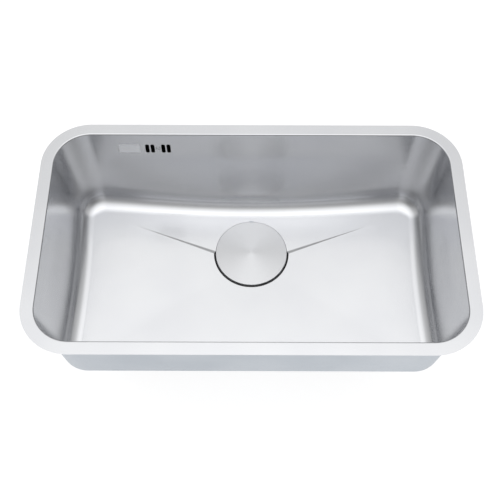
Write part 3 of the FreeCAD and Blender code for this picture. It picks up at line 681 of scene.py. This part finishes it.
def well_rows(edge):
    """The lip, the wall and the seat of the drain well, below the floor's inner edge."""
    centre = Vector((0.0, DRAIN_Y, 0.0))
    rows = []
    spokes = [Vector((*(p - centre).xy.normalized(), 0.0)) for p in edge]
    radii = [(p - centre).xy.length - LIP_R for p in edge]
    for degrees in range(15, 105, 15):
        a = math.radians(degrees)
        rows.append([
            centre + spoke * (r + LIP_R * (1 - math.sin(a)))
            + Vector((0, 0, p.z - LIP_R * (1 - math.cos(a))))
            for spoke, r, p in zip(spokes, radii, edge)
        ])
    for degrees in (0, 30, 60, 90):
        a = math.radians(degrees)
        rows.append([
            centre + spoke * (r - WELL_FOOT_R * (1 - math.cos(a)))
            + Vector((0, 0, SEAT_Z + WELL_FOOT_R * (1 - math.sin(a))))
            for spoke, r in zip(spokes, radii)
        ])
    for radius in SEAT_ROWS:
        rows.append([centre + spoke * radius + Vector((0, 0, SEAT_Z)) for spoke in spokes])
    return rows


sheet = Sheet()
for one, other in zip(rings, rings[1:]):
    sheet.strip(other, one)
rulings = back + front
for one, other in zip(rulings, rulings[1:] + rulings[:1]):
    sheet.strip(one, other, closed=False)
inner = [row[-1] for row in rulings]
for row in well_rows(inner):
    sheet.strip(row, inner)
    inner = row
print("points and faces of the sheet:", len(sheet.points), len(sheet.faces))


# %% [markdown]
# Solidify adds the underside one sheet's thickness below the upper surface, and gives it
# the second finish. Each piece is then turned into plain mesh, with sharp edges kept.

# %% Thickness
SHARP_DEG = 25.0          # faces that meet at more than this keep a sharp edge


def shown(name, mesh, body, materials):
    """A new piece from a mesh, riding on a body."""
    piece = bpy.data.objects.new(name, mesh)
    bpy.context.scene.collection.objects.link(piece)
    for material in materials:
        mesh.materials.append(material)
    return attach(piece, body)


def settle(piece):
    """Turn a piece's modifiers into plain mesh, shaded smooth up to an angle."""
    scene_now = bpy.context.evaluated_depsgraph_get()
    done = bpy.data.meshes.new_from_object(piece.evaluated_get(scene_now))
    piece.modifiers.clear()
    piece.data = done
    done.shade_smooth()
    done.set_sharp_from_angle(angle=math.radians(SHARP_DEG))
    return piece


bowl_mesh = bpy.data.meshes.new("bowl_sheet")
bowl_mesh.from_pydata(sheet.points, [], sheet.faces)
bowl = shown("pressed_bowl", bowl_mesh, "sink", [satin_steel, mill_steel])
thick = bowl.modifiers.new("sheet thickness", "SOLIDIFY")
thick.thickness = SHEET * MM
thick.offset = -1.0
thick.material_offset = 1
settle(bowl)
low, high = (Vector(c) for c in (bowl.bound_box[0], bowl.bound_box[6]))
print("bowl box in mm:", [round(v / MM, 1) for v in (*low, *high)])


# %% [markdown]
# Four upright slots in the back wall let the water out before the bowl runs over, with a
# screw between them. They are punched with one cutter that goes through the sheet.

# %% Overflow slots
OVERFLOW_X, OVERFLOW_DROP = -176.0, 40.0
SLOT_W, SLOT_H = 7.4, 24.0
SLOT_OFFSETS = (-20.0, -10.0, 10.0, 20.0)
SCREW_HOLE_R = 2.8
HOLE_STRETCH = 0.01       # the round hole is a slot this much taller than it is wide
PUNCH_PAST = 2.0          # how far the cutter goes past either face of the sheet
SLOT_END_STEPS = 12


def on_back_wall(x):
    """Frame of a place on the back wall, level with the overflow: local -Y faces the bowl."""
    y = RIM_WIDTH / 2 - FLANGE_WIDTH - WALL_LEAN * OVERFLOW_DROP / BOWL_DEPTH
    place = Matrix.Translation(Vector((x, y, -OVERFLOW_DROP)) * MM)
    return place @ Matrix.Rotation(-WALL_ANGLE, 4, "X")


def stadium(width, height):
    """A slot's outline: straight sides and round ends, in the local XZ plane."""
    r, half = width / 2, (height - width) / 2
    points = []
    for sign, first in ((1, 0), (-1, 180)):
        for k in range(SLOT_END_STEPS + 1):
            a = math.radians(first + 180 * k / SLOT_END_STEPS)
            points.append((r * math.cos(a), sign * half + r * math.sin(a)))
    return points


def slot_cutter_mesh():
    """A prism for each slot and one for the screw's hole, in one mesh."""
    holes = [(x, SLOT_W, SLOT_H) for x in SLOT_OFFSETS]
    holes.append((0.0, 2 * SCREW_HOLE_R, 2 * SCREW_HOLE_R + HOLE_STRETCH))
    points, faces = [], []
    for x, width, tall in holes:
        shape = stadium(width, tall)
        base, count = len(points), len(shape)
        points += [
            (x + px, y, pz) for y in (-PUNCH_PAST, SHEET + PUNCH_PAST) for px, pz in shape
        ]
        faces.append([base + i for i in range(count)])
        faces.append([base + count + i for i in reversed(range(count))])
        for i in range(count):
            j = (i + 1) % count
            faces.append([base + j, base + i, base + count + i, base + count + j])
    mesh = bpy.data.meshes.new("slot_cutter")
    mesh.from_pydata([Vector(p) * MM for p in points], [], faces)
    return mesh


cutter = bpy.data.objects.new("slot_cutter", slot_cutter_mesh())
cutter.matrix_world = on_back_wall(OVERFLOW_X)
bpy.context.scene.collection.objects.link(cutter)
punch = bowl.modifiers.new("punched slots", "BOOLEAN")
punch.operation = "DIFFERENCE"
punch.solver = "EXACT"
punch.object = cutter
settle(bowl)
bpy.data.objects.remove(cutter)
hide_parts("bowl")
print("bowl faces:", len(bowl.data.polygons))


# %% [markdown]
# ## Drain cover
# The cover is a stainless disc turned down at its edge, with notches in its skirt for the
# water. It was brushed while it spun, so its fine rings throw the light into two wedges
# that meet in the middle. A tangent that runs round the disc, with a strongly anisotropic
# gloss, gives those wedges. The real rings are hair fine and are drawn 0.9 mm wide.

# %% Spun steel
POLISH_SPREAD = 0.04      # how much a ring's roughness differs from the mean
QUARTER_TURN = 0.25       # spreads the gloss across the rings and not along them


def spun_steel(name, colour, rough, anisotropic, centre, ring_mm, bump_mm):
    """Steel brushed in rings round a vertical axis through centre."""
    material, tree = start_finish(name)
    place = add(tree, "ShaderNodeTexCoord")
    off = add(
        tree, "ShaderNodeVectorMath", {"operation": "SUBTRACT", 1: centre},
        {0: place.outputs["Object"]},
    )
    flat = add(
        tree, "ShaderNodeVectorMath", {"operation": "MULTIPLY", 1: (1.0, 1.0, 0.0)},
        {0: off.outputs[0]},
    )
    radius = add(
        tree, "ShaderNodeVectorMath", {"operation": "LENGTH"}, {0: flat.outputs[0]},
    )
    noise = add(
        tree, "ShaderNodeTexNoise",
        {"noise_dimensions": "1D", "Scale": 1 / (ring_mm * MM), "Detail": 3.0},
        {"W": radius.outputs["Value"]},
    )
    polish = add(
        tree, "ShaderNodeMapRange",
        {**NOISE_RANGE, "To Min": rough - POLISH_SPREAD, "To Max": rough + POLISH_SPREAD},
        {"Value": noise.outputs[0]},
    )
    relief = add(
        tree, "ShaderNodeBump", {"Strength": 1.0, "Distance": bump_mm * MM},
        {"Height": noise.outputs[0]},
    )
    round_it = add(tree, "ShaderNodeTangent", {"direction_type": "RADIAL", "axis": "Z"})
    end_finish(tree, add(
        tree, "ShaderNodeBsdfPrincipled",
        {"Base Color": linear(colour), "Metallic": 1.0, "Anisotropic": anisotropic,
         "Anisotropic Rotation": QUARTER_TURN},
        {"Roughness": polish.outputs[0], "Normal": relief.outputs[0],
         "Tangent": round_it.outputs[0]},
    ))
    return material


drain_centre = (0.0, DRAIN_Y * MM, 0.0)
cover_steel = spun_steel("spun_steel", "#DFE0E2", 0.34, 0.75, drain_centre, 0.9, 0.004)
print("finish:", cover_steel.name)


# %% [markdown]
# In the photograph the half of the disc near the camera is brighter than its far half,
# so a slight crown was guessed. The section is turned round the axis, and where a notch
# passes, the foot of the section is lifted.

# %% Crowned cover
COVER_TOP, COVER_LOW = -199.7, -206.8      # shoulder of the disc, foot of its skirt
COVER_SHEET, COVER_EDGE_R = 1.2, 0.8
COVER_CROWN_DEG = 3.0
COVER_TIP_R = 2.0         # the middle of the crown is flat out to here
COVER_ROWS = (6.0, 20.0, 34.0, 48.0, 60.0)  # radii of the rows of points between
SHOULDER_STRIP = 0.2      # a narrow strip beside the shoulder keeps it crisp
COVER_NOTCHES, NOTCH_W, NOTCH_H = 8, 22.0, 3.5
NOTCH_STEPS, BRIDGE_STEPS = 8, 12           # stations across a notch, and between two


def cover_section(notched):
    """(radius, height) round the section, from the middle over the edge and back below."""
    slope = math.tan(math.radians(COVER_CROWN_DEG))
    shoulder = COVER_R - COVER_EDGE_R
    inner = COVER_R - COVER_SHEET
    top_of_notch = COVER_LOW + NOTCH_H
    foot = top_of_notch if notched else COVER_LOW
    crown = [
        (r, COVER_TOP + slope * (shoulder - max(r, COVER_TIP_R)))
        for r in (0.0, COVER_TIP_R, *COVER_ROWS, shoulder - SHOULDER_STRIP, shoulder)
    ]
    edge = [
        (shoulder + COVER_EDGE_R * math.sin(a), COVER_TOP - COVER_EDGE_R * (1 - math.cos(a)))
        for a in (math.radians(15 * k) for k in range(1, 7))
    ]
    skirt = [(COVER_R, top_of_notch), (COVER_R, foot), (inner, foot), (inner, top_of_notch)]
    below = [
        (min(r, inner), z - COVER_SHEET)
        for r, z in reversed(crown) if r != shoulder - SHOULDER_STRIP
    ]
    return crown + edge + skirt + below


def cover_stations():
    """(bearing in degrees, is a notch there), twice where a notch starts or ends."""
    half = math.degrees(math.asin(NOTCH_W / 2 / COVER_R))
    pitch = 360 / COVER_NOTCHES
    places = []
    for i in range(COVER_NOTCHES):
        middle = pitch * (i + 0.5)
        places += [
            (middle - half + 2 * half * k / NOTCH_STEPS, True) for k in range(NOTCH_STEPS + 1)
        ]
        gap = pitch - 2 * half
        places += [
            (middle + half + gap * k / BRIDGE_STEPS, False) for k in range(BRIDGE_STEPS + 1)
        ]
    return places


def cover_place(radius, bearing, z):
    """A place round the drain's axis."""
    a = math.radians(bearing)
    return Vector((radius * math.cos(a), DRAIN_Y + radius * math.sin(a), z))


sections = [
    [cover_place(r, bearing, z) for r, z in cover_section(notched)]
    for bearing, notched in cover_stations()
]
disc = Sheet()
for one, other in zip(sections, sections[1:] + sections[:1]):
    disc.strip(other, one, closed=False)
cover_mesh = bpy.data.meshes.new("crowned_cover")
cover_mesh.from_pydata(disc.points, [], disc.faces)
cover = settle(shown("crowned_cover", cover_mesh, "cover", [cover_steel]))
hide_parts("drain_cover")
print("cover faces:", len(cover.data.polygons))


# %% [markdown]
# ## Everything that the cover hides
# Below the floor a sink is rubber, moulded plastic and turned steel. These finishes are
# simple but real: each has two near colours, a roughness that varies a little, and the
# skin that its tool leaves. Skins finer than a millimetre are drawn about 1 mm wide.

# %% Moulded and cut materials
MOULD_CLOUD_MM = 30.0


def moulded(name, dark, light, rough, grain_mm, bump_mm, **sockets):
    """A plastic, rubber or board, with the sockets that set it apart."""
    return worked(name, dark, light, rough, grain_mm, bump_mm, MOULD_CLOUD_MM, sockets)


print("finishes so far:", [material.name for material in bpy.data.materials])


# %% Rubber, plastic and board
# Nitrile rubber, moulded: nearly black, with a soft bloom instead of a glint.
rubber = moulded("moulded_rubber", "#151516", "#202022", (0.6, 0.75), 0.8, 0.008, IOR=1.52)
# Butyl sheet, rolled and cut: dark grey and dull, slightly mottled.
pad_rubber = moulded("butyl_pad", "#3A3B3E", "#46474A", (0.7, 0.85), 1.5, 0.02, IOR=1.52)
# Polypropylene, moulded in a sparked tool: an even colour with a low, wide sheen.
black_pp = moulded("black_polypropylene", "#19191A", "#222324", (0.4, 0.5), 1.0, 0.008, IOR=1.49)
white_pp = moulded("white_polypropylene", "#E6E6E2", "#EEEEEA", (0.32, 0.42), 1.0, 0.004, IOR=1.49)
grey_pp = moulded("grey_polypropylene", "#7B7D80", "#85878A", (0.38, 0.5), 1.0, 0.008, IOR=1.49)
# Vulcanised fibre board, die cut: brown, dry and matt.
fibre = moulded("fibre_board", "#A98458", "#BD9A6D", (0.8, 0.9), 0.7, 0.025, IOR=1.5)
# Polyester film with a silvered back, laid on the wall: a shade paler than the steel.
film = moulded(
    "silvered_film", "#F4F6F9", "#FAFBFD", (0.28, 0.38), 2.0, 0.001, IOR=1.5, Metallic=0.85,
)
print("moulded and cut:", rubber.name, pad_rubber.name, black_pp.name, fibre.name, film.name)


# %% [markdown]
# The small metal parts are turned, pressed or plated, and each way of working leaves its
# own gloss.

# %% Small metal parts
# Stainless cup, polished on a lathe: fine rings round the drain's axis.
turned_steel = spun_steel("turned_steel", "#D6D7DA", 0.3, 0.5, drain_centre, 0.7, 0.006)
# Stainless basket, pressed and tumbled: an even, soft satin.
pressed_steel = steel("pressed_steel", "#DADBDD", "#E0E1E3", (0.28, 0.36), 0.9, 0.0016)
# Stainless bar, turned and polished: small, clear highlights.
bar_steel = steel("polished_bar", "#DADBDE", "#E2E3E5", (0.18, 0.24), 0.5, 0.0008)
# Zinc plated screw: paler and softer than the steel round it.
plated_steel = steel("plated_screw", "#EEF0F2", "#F5F6F7", (0.42, 0.5), 0.5, 0.0008)
# Free-cutting brass, turned: warm yellow.
brass = steel("turned_brass", "#C9A35A", "#D2AE68", (0.22, 0.3), 0.5, 0.0016)
print("metal:", turned_steel.name, pressed_steel.name, bar_steel.name, brass.name)


# %% [markdown]
# A CAD node keeps its mesh and its place, and only gets a finish. The bowl and the cover
# aren't in the list, because finer meshes replace them. Nor is the strainer's gasket: a
# widened gasket replaces it, and its black rubber is painted shade in the well's seat.

# %% Dress the nodes
def dress(node, material):
    """Give a CAD node a finish."""
    target = nodes[node]
    target.data.materials.clear()
    target.data.materials.append(material)


for node_name, finish in {
    "strainer_body": turned_steel,
    "strainer_basket": pressed_steel,
    "basket_bush": bar_steel,
    "under_gasket": rubber,
    "overflow_gasket": rubber,
    "tee_seal": rubber,
    "slip_seals": rubber,
    "plug_seal": rubber,
    "friction_washer": fibre,
    "lock_nut": grey_pp,
    "coupling_nut": grey_pp,
    "slip_nuts": grey_pp,
    "waste_tee": white_pp,
    "overflow_housing": black_pp,
    "overflow_pipe": white_pp,
    "overflow_insert": brass,
    "overflow_screw": plated_steel,
    "plug_post": bar_steel,
    "plug_knob": bar_steel,
    "sound_pad_left": pad_rubber,
    "sound_pad_right": pad_rubber,
    "blank_sticker": film,
}.items():
    dress(node_name, finish)
print("dressed:", sum(len(node.data.materials) for node in nodes.values() if node.data))


# %% [markdown]
# A real gasket lies under the strainer. Here it is widened until it nearly fills the seat
# of the well, so its black rubber is painted shade that makes the gap round the cover look dark.

# %% Gasket widened as painted shade
GASKET_THICK = 1.5
GASKET_LIFT = 0.02        # just clear of the seat
GASKET_CLEARANCE = 1.0    # it ends where the seat curves up into the wall


def gasket_rows(edge):
    """Rings of points round the gasket's section: inner foot, outer foot, outer and inner top."""
    centre = Vector((0.0, DRAIN_Y, 0.0))
    rows = [[], [], [], []]
    for place in edge:
        off = (place - centre).xy
        spoke = Vector((*off.normalized(), 0.0))
        outer = off.length - LIP_R - GASKET_CLEARANCE
        section = (
            (DRAIN_HOLE_R, GASKET_LIFT), (outer, GASKET_LIFT),
            (outer, GASKET_THICK), (DRAIN_HOLE_R, GASKET_THICK),
        )
        for row, (radius, z) in zip(rows, section):
            row.append(centre + spoke * radius + Vector((0, 0, SEAT_Z + z)))
    return rows


# The widened gasket's black rubber is painted shade in the gap round the cover.
ring = Sheet()
rows = gasket_rows([row[-1] for row in rulings])
for one, other in zip(rows, rows[1:] + rows[:1]):
    ring.strip(other, one)
gasket_mesh = bpy.data.meshes.new("gasket_widened_as_painted_shade")
gasket_mesh.from_pydata(ring.points, [], ring.faces)
gasket = settle(shown("gasket_widened_as_painted_shade", gasket_mesh, "sink", [rubber]))
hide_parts("flange_gasket")
print("gasket faces:", len(gasket.data.polygons))
